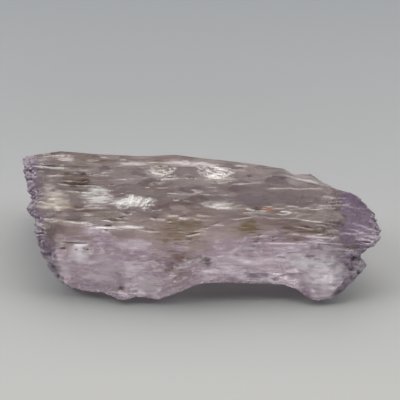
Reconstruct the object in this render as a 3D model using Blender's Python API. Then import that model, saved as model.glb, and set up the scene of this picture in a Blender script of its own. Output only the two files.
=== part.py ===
"""A rough kunzite crystal, the lilac form of spodumene, lying on its broad cleavage face.

The crystal is one solid. Seven edge lines run along it, from one etched end to the other, and the
prism faces between them carry the lengthwise ledges and the chips. Each end closes with an etched,
lumpy face. Lengths in the tables are millimetres: x along the crystal, y towards its back, z up.
A place around the crystal is a number from 0 to 7: 0 on the first edge line, 1 on the second and
so on, with the faces between.
"""

import math

import bmesh
import bpy
import numpy as np

NAME = "kunzite_crystal"
MM = 0.001

# The prism's seven edge lines in their order around it, each with the mesh columns that its
# face takes up to the next edge, and the points that its line passes through.
EDGE_LINES = {
    "front_foot": (3, [
        (-28.0, -5.6, 0.0), (-16.0, -8.6, 0.0), (-7.0, -9.4, 0.0), (-3.0, -8.0, 0.0),
        (1.5, -4.0, 0.0), (6.0, -2.6, 0.0), (12.0, -2.6, 0.0), (16.0, -5.0, 0.0),
        (20.5, -9.0, 0.0), (24.0, -8.6, 0.0), (27.0, -6.5, 0.0)]),
    "front_bottom": (9, [
        (-28.0, -8.6, 2.2), (-23.8, -9.3, 1.6), (-21.3, -9.9, 1.3), (-17.3, -10.1, 1.3),
        (-14.2, -11.6, 1.0), (-12.9, -11.6, 1.0), (-11.2, -11.2, 1.2), (-7.4, -11.8, 0.9),
        (-4.3, -10.9, 1.3), (-2.2, -10.0, 1.9), (0.9, -9.4, 2.7), (4.5, -9.4, 3.2),
        (9.9, -9.5, 3.2), (15.3, -9.7, 2.8), (18.0, -10.4, 2.0), (20.7, -11.7, 1.0),
        (22.1, -11.7, 1.0), (24.8, -10.9, 1.5), (28.0, -9.8, 2.0), (30.5, -9.0, 2.6)]),
    "shoulder": (25, [
        (-29.0, -6.1, 8.6), (-19.6, -6.7, 8.8), (-10.7, -7.9, 8.6), (-1.8, -9.1, 8.4),
        (3.6, -7.2, 8.9), (10.7, -6.3, 9.2), (17.8, -6.3, 9.2), (25.8, -6.8, 8.9),
        (31.0, -6.9, 8.3)]),
    "ridge": (5, [
        (-33.0, 9.7, 14.0), (-28.8, 9.2, 14.3), (-18.2, 8.3, 14.4), (-9.1, 8.0, 14.5),
        (0.0, 8.1, 14.4), (10.0, 6.7, 13.8), (16.3, 6.4, 13.6), (23.6, 4.8, 12.9),
        (26.2, 4.1, 12.6), (33.0, 1.8, 11.5)]),
    "back_top": (6, [
        (-33.0, 12.7, 12.3), (-28.6, 13.3, 12.8), (-25.5, 13.9, 12.8), (-18.5, 13.4, 12.5),
        (-11.1, 13.1, 12.3), (-4.6, 13.1, 12.6), (0.0, 12.7, 12.3), (8.3, 11.7, 12.0),
        (15.7, 10.6, 11.6), (17.6, 9.8, 10.9), (20.6, 9.8, 11.0), (23.1, 8.1, 10.4),
        (26.0, 6.4, 9.8), (33.0, 4.0, 8.5)]),
    "back_bottom": (6, [
        (-33.0, 13.2, 6.0), (-20.0, 15.1, 6.6), (-8.0, 15.3, 6.0), (4.0, 14.2, 6.5),
        (14.0, 12.6, 6.0), (22.0, 10.3, 5.4), (31.0, 6.8, 5.0)]),
    "back_foot": (8, [
        (-31.0, 9.0, 0.0), (-20.0, 11.2, 0.0), (-8.0, 11.6, 0.0), (4.0, 10.4, 0.0),
        (12.0, 9.0, 0.0), (20.0, 7.0, 0.0), (28.0, 4.0, 0.0)]),
}
RESTING_FACE = 6

# How far the crystal reaches along x at each end, by the place around it. The left end is
# slanted and notched, and the right end comes to a blunt point, with a tooth below its shoulder.
LEFT_REACH = [
    (0.0, -25.4), (1.0, -25.8), (1.22, -26.7), (1.46, -27.6), (1.73, -28.5), (2.0, -29.3),
    (2.15, -29.8), (2.32, -30.1), (2.38, -31.0), (2.48, -32.0), (2.55, -31.6), (2.6, -31.0),
    (2.7, -31.5), (2.8, -32.4), (3.0, -33.0), (4.0, -32.4), (5.0, -31.2), (6.0, -28.6)]
RIGHT_REACH = [
    (0.0, 25.0), (1.0, 26.2), (1.2, 28.3), (1.33, 29.3), (1.46, 30.1), (1.55, 29.6),
    (1.65, 28.7), (1.78, 28.8), (1.9, 30.2), (2.05, 31.3), (2.2, 32.4), (2.32, 33.0),
    (2.5, 32.5), (2.66, 31.6), (2.8, 30.8), (2.9, 28.6), (3.0, 26.6), (4.0, 24.0),
    (5.0, 25.4), (6.0, 24.4)]

# The middle of each end face, and the round of its rim: how far in, over how long a run.
LEFT_POLE = (3.2, 6.9)
RIGHT_POLE = (-0.6, 5.8)
LEFT_BEVEL = (1.1, 2.3)
RIGHT_BEVEL = (0.7, 1.4)

# The broad face falls away towards the right end: from where along x, and how steeply.
END_FACET_START = 26.6
END_FACET_SLOPE = 0.3
END_FACET_PLACES = (2.08, 2.5, 2.85, 3.0)

# Chips broken out of the edges: the centre and the half sizes of the hollow each one leaves.
CHIPS = [
    ((3.0, 7.5, 15.3), (4.0, 2.5, 1.9)),
    ((-6.6, 7.7, 15.3), (3.0, 2.2, 1.5)),
    ((17.9, 10.7, 12.2), (1.4, 1.8, 1.5)),
    ((28.9, -9.9, 6.6), (1.7, 1.9, 2.6)),
]

# Ledges stepped into the faces, which run lengthwise as the crystal grew: from and to, by the
# place around it, then from and to along x, then the depth of the step.
LEDGES = [
    (2.92, 3.02, -29.5, -17.5, 0.45),
    (2.55, 2.66, 1.5, 18.5, 0.35),
    (2.34, 2.52, -26.5, -8.5, 0.4),
    (2.02, 2.11, -26.0, -14.0, 0.35),
    (2.12, 2.3, 4.0, 24.0, 0.4),
    (2.7, 2.84, -6.0, 12.5, 0.3),
    (3.1, 3.55, 4.5, 25.0, 0.5),
    (3.45, 4.2, -34.0, -22.0, 0.4),
    (1.35, 1.6, -22.0, 0.0, 0.4),
    (1.55, 1.9, 8.0, 24.0, 0.45),
    (4.3, 4.75, -18.0, 9.0, 0.9),
    (5.3, 5.7, -26.0, -6.0, 0.8),
    (4.85, 5.35, 6.0, 28.0, 0.9),
    (6.0, 6.28, -32.0, -17.0, 0.5),
    (6.0, 6.22, 5.0, 16.0, 0.4),
    (6.72, 7.0, -24.0, -15.0, 0.4),
]
LEDGE_RISER = 0.3
LEDGE_END_BLUNTNESS = 8

# Small ledges scattered over the faces that don't rest: the ranges that each one is drawn from.
SMALL_LEDGES = 60
SMALL_LEDGE_SEED = 7
SMALL_LEDGE_FACES = (1, 2, 2, 2, 3, 4, 5)
SMALL_LEDGE_WIDTH = (0.8, 2.4)
SMALL_LEDGE_HALF_RUN = (3.0, 14.0)
SMALL_LEDGE_DEPTH = (0.12, 0.32)
SMALL_LEDGE_MIDDLE = (-29.0, 27.0)
EDGE_MARGIN = 0.9

# The slight unevenness of a grown surface: its depth, its grain around and along, and its seed.
UNEVENNESS = 0.05
UNEVEN_GRAIN = (0.9, 1.3)
UNEVEN_SEED = 3

# Etched lumps on the end faces.
LUMP_DEPTH = 1.7
LUMP_SIZE = 2.3
LUMP_LEVELS = 4
LUMP_RISER = 0.2
LUMP_SEED = 11
NOISE_OFFSET = 20
CAP_SETTLING = 2.6

# The mesh: stations along the prism, which crowd a little towards its ends, and rings on each cap.
STATIONS = 63
CAP_RINGS = 9
END_CROWDING = 0.5

# Clear lilac spodumene, as the library's plain material.
SPODUMENE_COLOUR = (0.52, 0.42, 0.55, 1.0)
SPODUMENE_ROUGHNESS = 0.12
SPODUMENE_IOR = 1.66
SPODUMENE_TRANSMISSION = 0.85


def clear_scene():
    """Removes everything that the file holds at the start."""
    for thing in list(bpy.data.objects):
        bpy.data.objects.remove(thing, do_unlink=True)


def lattice_value(column, row, seed):
    """A fixed pseudo-random number from 0 to 1 for each whole-numbered place."""
    mixed = (column * 374761393 + row * 668265263 + seed * 974634777) & 0xFFFFFFFF
    mixed = ((mixed ^ (mixed >> 13)) * 1274126177) & 0xFFFFFFFF
    return ((mixed ^ (mixed >> 16)) & 0xFFFF) / 0xFFFF


def smooth_noise(across, along, seed):
    """Noise from 0 to 1: random values on a unit lattice, blended smoothly between its points."""
    column = np.floor(across).astype(np.int64)
    row = np.floor(along).astype(np.int64)
    u = across - column
    v = along - row
    u = u * u * (3 - 2 * u)
    v = v * v * (3 - 2 * v)
    near = lattice_value(column, row, seed) * (1 - u) + lattice_value(column + 1, row, seed) * u
    far = lattice_value(column, row + 1, seed) * (1 - u) + lattice_value(column + 1, row + 1, seed) * u
    return near * (1 - v) + far * v


def terraces(height):
    """Height from 0 to 1 turned into flat treads with short, steep risers between them."""
    scaled = height * LUMP_LEVELS
    tread = np.floor(scaled)
    riser = np.clip((scaled - tread - 0.5) / LUMP_RISER + 0.5, 0, 1)
    return (tread + riser) / LUMP_LEVELS


def column_places():
    """The place of each mesh column around the crystal."""
    places = []
    for number, (columns, _) in enumerate(EDGE_LINES.values()):
        places.extend(number + step / columns for step in range(columns))
    return np.array(places)


def edge_marks():
    """The distance around the crystal's middle at which each edge line lies, and the last one's end."""
    middle = [[np.interp(0, *zip(*[(p[0], p[axis]) for p in points])) for axis in (1, 2)]
              for _, points in EDGE_LINES.values()]
    widths = [math.dist(a, b) for a, b in zip(middle, middle[1:] + middle[:1])]
    return np.concatenate([[0], np.cumsum(widths)])


def distance_around(place):
    """A place around the crystal as a distance in mm."""
    marks = edge_marks()
    return np.interp(place, range(len(marks)), marks)


def reach(table, place):
    """How far an end reaches at each place around the crystal."""
    rows = table + [(len(EDGE_LINES), table[0][1])]
    return np.interp(place, [row[0] for row in rows], [row[1] for row in rows])


def section(place, x):
    """The y and z of the bare prism's surface, at each place around it and each x."""
    edges = [points for _, points in EDGE_LINES.values()]
    lines = np.array([[np.interp(x, [p[0] for p in points], [p[axis] for p in points])
                       for points in edges] for axis in (1, 2)])
    first = np.floor(place).astype(int) % len(edges)
    share = place - np.floor(place)
    start = np.take_along_axis(lines, first[None, None], axis=1)[:, 0]
    end = np.take_along_axis(lines, (first[None, None] + 1) % len(edges), axis=1)[:, 0]
    return start + (end - start) * share


def outward_directions(y, z):
    """Unit vectors square to the section's outline, pointing out of the crystal."""
    dy = np.roll(y, -1, axis=1) - np.roll(y, 1, axis=1)
    dz = np.roll(z, -1, axis=1) - np.roll(z, 1, axis=1)
    length = np.hypot(dy, dz)
    return -dz / length, dy / length


def ledge_rows():
    """Every ledge as distances around the crystal, its run along x and its depth."""
    rows = [(distance_around(a), distance_around(b), x0, x1, depth) for a, b, x0, x1, depth in LEDGES]
    draw = np.random.default_rng(SMALL_LEDGE_SEED)
    marks = edge_marks()
    for _ in range(SMALL_LEDGES):
        face = draw.choice(SMALL_LEDGE_FACES)
        width = draw.uniform(*SMALL_LEDGE_WIDTH)
        start = draw.uniform(marks[face] + EDGE_MARGIN, marks[face + 1] - EDGE_MARGIN - width)
        middle = draw.uniform(*SMALL_LEDGE_MIDDLE)
        run = draw.uniform(*SMALL_LEDGE_HALF_RUN)
        rows.append((start, start + width, middle - run, middle + run, draw.uniform(*SMALL_LEDGE_DEPTH)))
    return rows


def ledge_relief(place, x):
    """How far the ledges step the surface in from the bare prism, in mm."""
    distance = distance_around(place)
    depth = np.zeros_like(x)
    for start, stop, x0, x1, step in ledge_rows():
        along = (x - (x0 + x1) / 2) / ((x1 - x0) / 2)
        half_width = (stop - start) / 2 * np.sqrt(np.clip(1 - along ** LEDGE_END_BLUNTNESS, 0, 1))
        inside = (half_width - np.abs(distance - (start + stop) / 2)) / LEDGE_RISER + 0.5
        depth += step * np.clip(inside, 0, 1) * (np.abs(along) < 1)
    return depth


def end_facet(place, x):
    """How far the broad face falls away towards the right end, in mm."""
    on_face = np.interp(place, END_FACET_PLACES, (0, 1, 1, 0))
    return on_face * END_FACET_SLOPE * np.maximum(x - END_FACET_START, 0)


def unevenness(place, x):
    """How far the grown surface wavers from its flat faces, in mm, inwards or outwards."""
    around = distance_around(place) / UNEVEN_GRAIN[0] + NOISE_OFFSET
    along = x / UNEVEN_GRAIN[1] + 3 * NOISE_OFFSET
    return UNEVENNESS * (2 * smooth_noise(around, along, UNEVEN_SEED) - 1)


def chipped(x, y, z, inward_y, inward_z):
    """Moves each point that lies in a chip's hollow inwards, as far as the hollow's wall."""
    for centre, half in CHIPS:
        px = (x - centre[0]) / half[0]
        py = (y - centre[1]) / half[1]
        pz = (z - centre[2]) / half[2]
        dy = inward_y / half[1]
        dz = inward_z / half[2]
        a = dy ** 2 + dz ** 2
        b = py * dy + pz * dz
        c = px ** 2 + py ** 2 + pz ** 2 - 1
        travel = (-b + np.sqrt(np.maximum(b * b - a * c, 0))) / a
        travel = np.where(c < 0, travel, 0)
        y = y + inward_y * travel
        z = z + inward_z * travel
    return y, z


def rounded_ends(place, y, z, left_gap, right_gap):
    """Draws the prism's ends in towards its middle, which rounds the rim of each end face."""
    centre_y = y.mean(axis=1, keepdims=True)
    centre_z = z.mean(axis=1, keepdims=True)
    for gap, (depth, run) in ((left_gap, LEFT_BEVEL), (right_gap, RIGHT_BEVEL)):
        inset = depth * np.clip(1 - gap / run, 0, 1) ** 2
        inset = np.where(place >= RESTING_FACE, 0, inset)
        away = np.hypot(y - centre_y, z - centre_z)
        y = y - (y - centre_y) * inset / away
        z = z - (z - centre_z) * inset / away
    return y, z


def body_points(place):
    """The stations along the prism, from the left end's rim to the right end's."""
    t = np.linspace(0, 1, STATIONS)
    eased = 0.5 - 0.5 * np.cos(math.pi * t)
    t = (t * (1 - END_CROWDING) + eased * END_CROWDING)[:, None]
    left = reach(LEFT_REACH, place)[None]
    right = reach(RIGHT_REACH, place)[None]
    x = left + (right - left) * t
    place = np.broadcast_to(place[None], x.shape)
    y, z = section(place, x)
    out_y, out_z = outward_directions(y, z)
    depth = ledge_relief(place, x) + end_facet(place, x)
    y, z = chipped(x, y - out_y * depth, z - out_z * depth, -out_y, -out_z)
    y, z = rounded_ends(place, y, z, x - left, right - x)
    waver = unevenness(place, x)
    rests = (place >= RESTING_FACE) | (place == 0)
    y = y + out_y * waver
    z = np.where(rests, z, z + out_z * waver)
    return np.stack([x, y, np.maximum(z, 0)], axis=-1)


def cap_points(rim, pole, outward):
    """Rings from an end's rim to its pole, which settle from the rim onto a flat end face.

    The flat face is the plane nearest to the rim, and etched lumps stand on it. rim is one ring
    of points, pole the end face's middle in y and z, and outward is -1 or 1 along x.
    """
    share = (np.arange(1, CAP_RINGS + 1) / CAP_RINGS)[:, None]
    y = rim[None, :, 1] * (1 - share) + pole[0] * share
    z = rim[None, :, 2] * (1 - share) + pole[1] * share
    columns = [np.ones(len(rim)), rim[:, 1], rim[:, 2]]
    plane = np.linalg.lstsq(np.stack(columns, axis=1), rim[:, 0], rcond=None)[0]
    lumps = terraces(smooth_noise(y / LUMP_SIZE + NOISE_OFFSET, z / LUMP_SIZE + NOISE_OFFSET, LUMP_SEED))
    flat = plane[0] + plane[1] * y + plane[2] * z + outward * (lumps - 0.5) * LUMP_DEPTH
    settled = np.minimum(share * CAP_SETTLING, 1)
    return np.stack([rim[None, :, 0] * (1 - settled) + flat * settled, y, z], axis=-1)


def crystal_grid():
    """All points by ring and column, from the left pole to the right pole, in metres."""
    body = body_points(column_places())
    left = cap_points(body[0], LEFT_POLE, -1)[::-1]
    right = cap_points(body[-1], RIGHT_POLE, 1)
    grid = np.concatenate([left, body, right])
    low = grid.min(axis=(0, 1))
    high = grid.max(axis=(0, 1))
    middle = (low + high) / 2
    return (grid - [middle[0], middle[1], low[2]]) * MM


def crystal_material():
    """Clear lilac spodumene."""
    material = bpy.data.materials.new("lilac_spodumene")
    material.use_nodes = True
    shader = material.node_tree.nodes["Principled BSDF"]
    shader.inputs["Base Color"].default_value = SPODUMENE_COLOUR
    shader.inputs["Roughness"].default_value = SPODUMENE_ROUGHNESS
    shader.inputs["Metallic"].default_value = 0.0
    shader.inputs["IOR"].default_value = SPODUMENE_IOR
    shader.inputs["Transmission Weight"].default_value = SPODUMENE_TRANSMISSION
    return material


def crystal_object(collection):
    """A ball whose rings become the crystal's stations and whose meridians its columns."""
    grid = crystal_grid()
    rings, columns = grid.shape[:2]
    body = bmesh.new()
    bmesh.ops.create_uvsphere(body, u_segments=columns, v_segments=rings - 1, radius=1.0)
    for vertex in body.verts:
        ring = round(math.acos(max(-1, min(1, -vertex.co.z))) / math.pi * (rings - 1))
        column = round(math.atan2(vertex.co.y, vertex.co.x) / math.tau * columns) % columns
        vertex.co = grid[ring, column]
    bmesh.ops.recalc_face_normals(body, faces=body.faces)
    bmesh.ops.triangulate(body, faces=body.faces, quad_method="SHORT_EDGE")
    mesh = bpy.data.meshes.new(NAME)
    body.to_mesh(mesh)
    body.free()
    mesh.materials.append(crystal_material())
    crystal = bpy.data.objects.new(NAME, mesh)
    collection.objects.link(crystal)
    return crystal


def main():
    clear_scene()
    collection = bpy.data.collections.new("kunzite")
    bpy.context.scene.collection.children.link(collection)
    crystal_object(collection)


main()
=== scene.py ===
import itertools
import logging
import math
from dataclasses import dataclass, field, replace
from enum import Enum

import bpy
import numpy as np
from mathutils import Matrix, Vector

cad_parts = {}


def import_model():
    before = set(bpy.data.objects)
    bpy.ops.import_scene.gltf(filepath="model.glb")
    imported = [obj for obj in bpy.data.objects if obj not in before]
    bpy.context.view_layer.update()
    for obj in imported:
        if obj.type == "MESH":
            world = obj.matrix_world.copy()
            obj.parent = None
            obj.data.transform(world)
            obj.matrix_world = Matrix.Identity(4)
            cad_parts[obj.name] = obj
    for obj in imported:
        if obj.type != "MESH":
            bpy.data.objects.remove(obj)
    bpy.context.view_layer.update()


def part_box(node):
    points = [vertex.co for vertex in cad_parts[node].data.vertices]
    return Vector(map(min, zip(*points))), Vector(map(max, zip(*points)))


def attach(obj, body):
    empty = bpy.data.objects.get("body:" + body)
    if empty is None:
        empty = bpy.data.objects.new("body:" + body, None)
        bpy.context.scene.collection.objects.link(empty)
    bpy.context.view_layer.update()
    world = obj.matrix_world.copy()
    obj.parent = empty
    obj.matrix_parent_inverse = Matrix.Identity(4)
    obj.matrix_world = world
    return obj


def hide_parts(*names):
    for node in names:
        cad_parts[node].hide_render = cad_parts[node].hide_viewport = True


# The looks of a rough kunzite crystal, the lilac form of spodumene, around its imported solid.
# Lengths in the tables are millimetres: x along the crystal, y towards its back, z up from the
# surface that it lies on. A place around the crystal is a number from 0 to 7: 0 on the first edge
# line, 1 on the second and so on, with the faces between. A distance is the way around the
# crystal's middle from the first edge line to such a place.

LOG = logging.getLogger("kunzite")
Array = np.ndarray
Pair = tuple[float, float]
Triple = tuple[float, float, float]
Masks = dict[str, Array]
Tree = bpy.types.NodeTree
Socket = bpy.types.NodeSocket

NODE = "kunzite_crystal"
BODY = "root"
MM = 0.001

# Where in its lattice a pattern starts, in steps. The primes keep the random numbers of its
# layers, axes and cells apart.
LATTICE_START = 50
LAYER_SEED = 101
AXIS_SEED = 7919
CELL_NUMBERS = (7, 131, 1733)


def linear(colour: str) -> tuple[float, float, float, float]:
    """Turns an sRGB hex colour into the linear colour that a shader takes.

    Args:
        colour: Six hex digits after a hash sign.

    Returns:
        Red, green, blue and an alpha of 1.
    """
    parts = [int(colour[i:i + 2], 16) / 255 for i in (1, 3, 5)]
    return (*[p / 12.92 if p <= 0.04045 else ((p + 0.055) / 1.055) ** 2.4 for p in parts], 1.0)


def stacked(*coordinates: Array | float) -> Array:
    """Joins coordinates into points, on a last axis."""
    return np.stack(np.broadcast_arrays(*coordinates), axis=-1)


def smoothstep(low: float, high: float, value: Array) -> Array:
    """Rises from 0 at low to 1 at high: 3t^2 - 2t^3 of the share t of the way.

    Args:
        low: Where the rise starts.
        high: Where it ends.
        value: What is measured.

    Returns:
        Numbers from 0 to 1.
    """
    t = np.clip((value - low) / (high - low), 0, 1)
    return t * t * (3 - 2 * t)


def lattice_value(column: Array, row: Array, seed: Array | int) -> Array:
    """A fixed pseudo-random number from 0 to 1 for each whole-numbered place.

    Args:
        column: Whole numbers across.
        row: Whole numbers along.
        seed: A whole number, or an array of them where a third direction counts too.

    Returns:
        Numbers from 0 to 1.
    """
    mixed = (column * 374761393 + row * 668265263 + seed * 974634777) & 0xFFFFFFFF
    mixed = ((mixed ^ (mixed >> 13)) * 1274126177) & 0xFFFFFFFF
    return ((mixed ^ (mixed >> 16)) & 0xFFFF) / 0xFFFF


def smooth_noise(points: Array, size: tuple[float, ...], seed: int, start: int = LATTICE_START) -> Array:
    """Random values on a lattice, blended with t^2 (3 - 2t) between its points.

    Args:
        points: Places in mm, with two or three coordinates on the last axis.
        size: The lattice's step in mm along each of them.
        seed: Chooses the pattern.
        start: Where in the lattice the pattern starts, in steps.

    Returns:
        Numbers from 0 to 1.
    """
    scaled = points / np.array(size) + start
    cell = np.floor(scaled).astype(np.int64)
    share = smoothstep(0, 1, scaled - cell)
    total = np.zeros(points.shape[:-1])
    for step in itertools.product((0, 1), repeat=len(size)):
        column, row, *layer = (cell[..., axis] + step[axis] for axis in range(len(size)))
        weight = np.prod(np.where(np.array(step) == 1, share, 1 - share), axis=-1)
        total += weight * lattice_value(column, row, seed + LAYER_SEED * sum(layer))
    return total


def terraces(height: Array, levels: int, riser: float) -> Array:
    """Turns heights from 0 to 1 into flat treads with steep risers between them.

    Args:
        height: Heights from 0 to 1.
        levels: How many treads there are.
        riser: The share of each step that its riser takes.

    Returns:
        Heights from 0 to 1.
    """
    scaled = height * levels
    tread = np.floor(scaled)
    return (tread + np.clip((scaled - tread - 0.5) / riser + 0.5, 0, 1)) / levels


def nearest_seed(points: Array, size: Triple, seed: int) -> tuple[Array, Array]:
    """Finds the nearest of one random point per cell of a lattice.

    Args:
        points: Places in mm, with x, y and z on the last axis.
        size: A cell's size in mm along x, y and z.
        seed: Chooses the pattern.

    Returns:
        The way from that point in cells, and its own number.
    """
    scaled = points / np.array(size) + LATTICE_START
    cell = np.floor(scaled).astype(np.int64)
    best = np.full(points.shape[:-1], np.inf)
    way = np.zeros_like(points)
    number = np.zeros(points.shape[:-1], np.int64)
    for step in itertools.product((-1, 0, 1), repeat=3):
        corner = cell + np.array(step)
        column, row, layer = np.moveaxis(corner, -1, 0)
        seeds = [seed + LAYER_SEED * layer + AXIS_SEED * axis for axis in range(3)]
        gap = scaled - (corner + stacked(*(lattice_value(column, row, own) for own in seeds)))
        squared = (gap ** 2).sum(axis=-1)
        closer = squared < best
        best = np.where(closer, squared, best)
        way = np.where(closer[..., None], gap, way)
        number = np.where(closer, (corner * np.array(CELL_NUMBERS)).sum(axis=-1), number)
    return way, number


def grains(points: Array, size: float, seed: int) -> Array:
    """Rounded grains: 1 - d^2, with d the distance to the nearest of one random point per cell.

    Args:
        points: Places in mm, with x, y and z on the last axis.
        size: The width of a cell in mm.
        seed: Chooses the pattern.

    Returns:
        Heights, 1 at a grain's middle and 0 or less in the gaps between grains.
    """
    way, _ = nearest_seed(points, (size, size, size), seed)
    return 1 - (way ** 2).sum(axis=-1)


def plates(points: Array, size: Triple, slope: float, seed: int) -> Array:
    """Long flat plates with random heights from -0.5 to 0.5, each tipped its own way.

    Args:
        points: Places in mm, with x, y and z on the last axis.
        size: A plate's usual size in mm along x, y and z.
        slope: The height that a plate gains over its own width, at most.
        seed: Chooses the pattern.

    Returns:
        The plates' heights.
    """
    way, number = nearest_seed(points, size, seed)
    height = lattice_value(number, number >> 3, seed + 1) - 0.5
    for axis in range(3):
        tip = 2 * lattice_value(number, number >> 3, seed + 2 + axis) - 1
        height = height + slope * tip * way[..., axis]
    return height


def fill(tree: Tree, node: bpy.types.Node, inputs: dict) -> None:
    """Fills a node's inputs.

    Args:
        tree: The node's tree.
        node: The node.
        inputs: Socket names or numbers, each with a value or the socket that feeds it.
    """
    for name, value in inputs.items():
        if isinstance(value, Socket):
            tree.links.new(value, node.inputs[name])
        else:
            node.inputs[name].default_value = value


def add_node(tree: Tree, kind: str, inputs: dict, **settings: object) -> bpy.types.Node:
    """Adds a node, gives it its settings, and fills its inputs with values or links.

    Args:
        tree: The material's node tree.
        kind: The node's type name.
        inputs: Socket names or numbers, each with a value or the socket that feeds it.
        settings: The node's own properties.

    Returns:
        The new node.
    """
    node = tree.nodes.new(kind)
    for name, value in settings.items():
        setattr(node, name, value)
    fill(tree, node, inputs)
    return node


def new_material(name: str) -> tuple[bpy.types.Material, Tree, Socket]:
    """Makes a material that has only its shader.

    Args:
        name: The material's name.

    Returns:
        The material, its node tree, and the Object coordinates that its patterns read.
    """
    material = bpy.data.materials.new(name)
    material.use_nodes = True
    place = add_node(material.node_tree, "ShaderNodeTexCoord", {}).outputs["Object"]
    return material, material.node_tree, place


def put(name: str, data: bpy.types.ID) -> bpy.types.Object:
    """Puts a mesh, a light or a camera into the scene.

    Args:
        name: The object's name.
        data: What it shows.

    Returns:
        The new object.
    """
    item = bpy.data.objects.new(name, data)
    bpy.context.scene.collection.objects.link(item)
    return item


def add_piece(mesh: bpy.types.Mesh, material: bpy.types.Material) -> bpy.types.Object:
    """Makes a piece of a mesh, dresses it, and lets it ride on the crystal's body.

    Args:
        mesh: Its mesh, in the row frame, which also gives its name.
        material: Its finish.

    Returns:
        The new object.
    """
    piece = put(mesh.name, mesh)
    mesh.materials.append(material)
    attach(piece, BODY)
    LOG.info("%s: %d faces", mesh.name, len(mesh.polygons))
    return piece


@dataclass(frozen=True)
class EdgeLine:
    """One edge line of the prism.

    Attributes:
        columns: The mesh columns of the face up to the next edge line.
        points: The points that the line passes through.
    """

    columns: int
    points: tuple[Triple, ...]

    def at(self, x: Array | float, axis: int) -> Array:
        """The line's y, which is axis 1, or its z, which is axis 2, straight between its points."""
        return np.interp(x, [point[0] for point in self.points], [point[axis] for point in self.points])


@dataclass(frozen=True)
class Ledge:
    """A lengthwise ledge: from and to around the crystal, from and to along x, and its depth."""

    start: float
    stop: float
    x0: float
    x1: float
    depth: float


@dataclass(frozen=True)
class Chip:
    """A chip broken out of an edge: the centre and half sizes of its hollow."""

    centre: Triple
    half: Triple


class Mark(Enum):
    """What a patch of the surface shows; each is a mask that the finish reads."""

    BROWN = "brown"
    OLIVE = "olive"
    RUST = "rust"
    CREAM = "cream"
    # Frost and glint: white crack veils, and in places painted highlights.
    FROST = "frost"
    # Painted glow: bright patches that stand in for light shining through the crystal.
    GLOW = "glow"
    # Painted shade in slits and grooves.
    DARK = "dark"
    LINED = "lined"


@dataclass(frozen=True)
class Patch:
    """A part of the surface, or of what lies under it.

    Attributes:
        x: Its middle along the crystal.
        place: Its middle around the crystal.
        half_run: Its half length.
        half_width: Its half width.
    """

    x: float
    place: float
    half_run: float
    half_width: float


@dataclass(frozen=True)
class Spot(Patch):
    """A marked ellipse with a ragged rim, and how strong it is, from 0 to 1."""

    strength: float


# A feather's splinters are white partly as a crack is, and partly as painted glints and glare.
@dataclass(frozen=True)
class Feather(Patch):
    """A crack that runs out to the surface as a fan of bright splinters.

    Attributes:
        turn: The splinters' angle to x, in degrees, rising towards the next edge line.
        reach: How far from the middle the fan starts.
        strength: How strong it is, from 0 to 1.
    """

    turn: float
    reach: float
    strength: float


EDGE_LINES = (
    EdgeLine(8, (
        (-28.0, -5.6, 0.0), (-16.0, -8.6, 0.0), (-7.0, -9.4, 0.0), (-3.0, -8.0, 0.0),
        (1.5, -4.0, 0.0), (6.0, -2.6, 0.0), (12.0, -2.6, 0.0), (16.0, -5.0, 0.0),
        (20.5, -9.0, 0.0), (24.0, -8.6, 0.0), (27.0, -6.5, 0.0))),
    EdgeLine(44, (
        (-28.0, -8.6, 2.2), (-23.8, -9.3, 1.6), (-21.3, -9.9, 1.3), (-17.3, -10.1, 1.3),
        (-14.2, -11.6, 1.0), (-12.9, -11.6, 1.0), (-11.2, -11.2, 1.2), (-7.4, -11.8, 0.9),
        (-4.3, -10.9, 1.3), (-2.2, -10.0, 1.9), (0.9, -9.4, 2.7), (4.5, -9.4, 3.2),
        (9.9, -9.5, 3.2), (15.3, -9.7, 2.8), (18.0, -10.4, 2.0), (20.7, -11.7, 1.0),
        (22.1, -11.7, 1.0), (24.8, -10.9, 1.5), (28.0, -9.8, 2.0), (30.5, -9.0, 2.6))),
    EdgeLine(108, (
        (-29.0, -6.1, 8.6), (-19.6, -6.7, 8.8), (-10.7, -7.9, 8.6), (-1.8, -9.1, 8.4),
        (3.6, -7.2, 8.9), (10.7, -6.3, 9.2), (17.8, -6.3, 9.2), (25.8, -6.8, 8.9),
        (31.0, -6.9, 8.3))),
    EdgeLine(26, (
        (-33.0, 9.7, 14.0), (-28.8, 9.2, 14.3), (-18.2, 8.3, 14.4), (-9.1, 8.0, 14.5),
        (0.0, 8.1, 14.4), (10.0, 6.7, 13.8), (16.3, 6.4, 13.6), (23.6, 4.8, 12.9),
        (26.2, 4.1, 12.6), (33.0, 1.8, 11.5))),
    EdgeLine(26, (
        (-33.0, 12.7, 12.3), (-28.6, 13.3, 12.8), (-25.5, 13.9, 12.8), (-18.5, 13.4, 12.5),
        (-11.1, 13.1, 12.3), (-4.6, 13.1, 12.6), (0.0, 12.7, 12.3), (8.3, 11.7, 12.0),
        (15.7, 10.6, 11.6), (17.6, 9.8, 10.9), (20.6, 9.8, 11.0), (23.1, 8.1, 10.4),
        (26.0, 6.4, 9.8), (33.0, 4.0, 8.5))),
    EdgeLine(22, (
        (-33.0, 13.2, 6.0), (-20.0, 15.1, 6.6), (-8.0, 15.3, 6.0), (4.0, 14.2, 6.5),
        (14.0, 12.6, 6.0), (22.0, 10.3, 5.4), (31.0, 6.8, 5.0))),
    EdgeLine(22, (
        (-31.0, 9.0, 0.0), (-20.0, 11.2, 0.0), (-8.0, 11.6, 0.0), (4.0, 10.4, 0.0),
        (12.0, 9.0, 0.0), (20.0, 7.0, 0.0), (28.0, 4.0, 0.0))),
)

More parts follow.
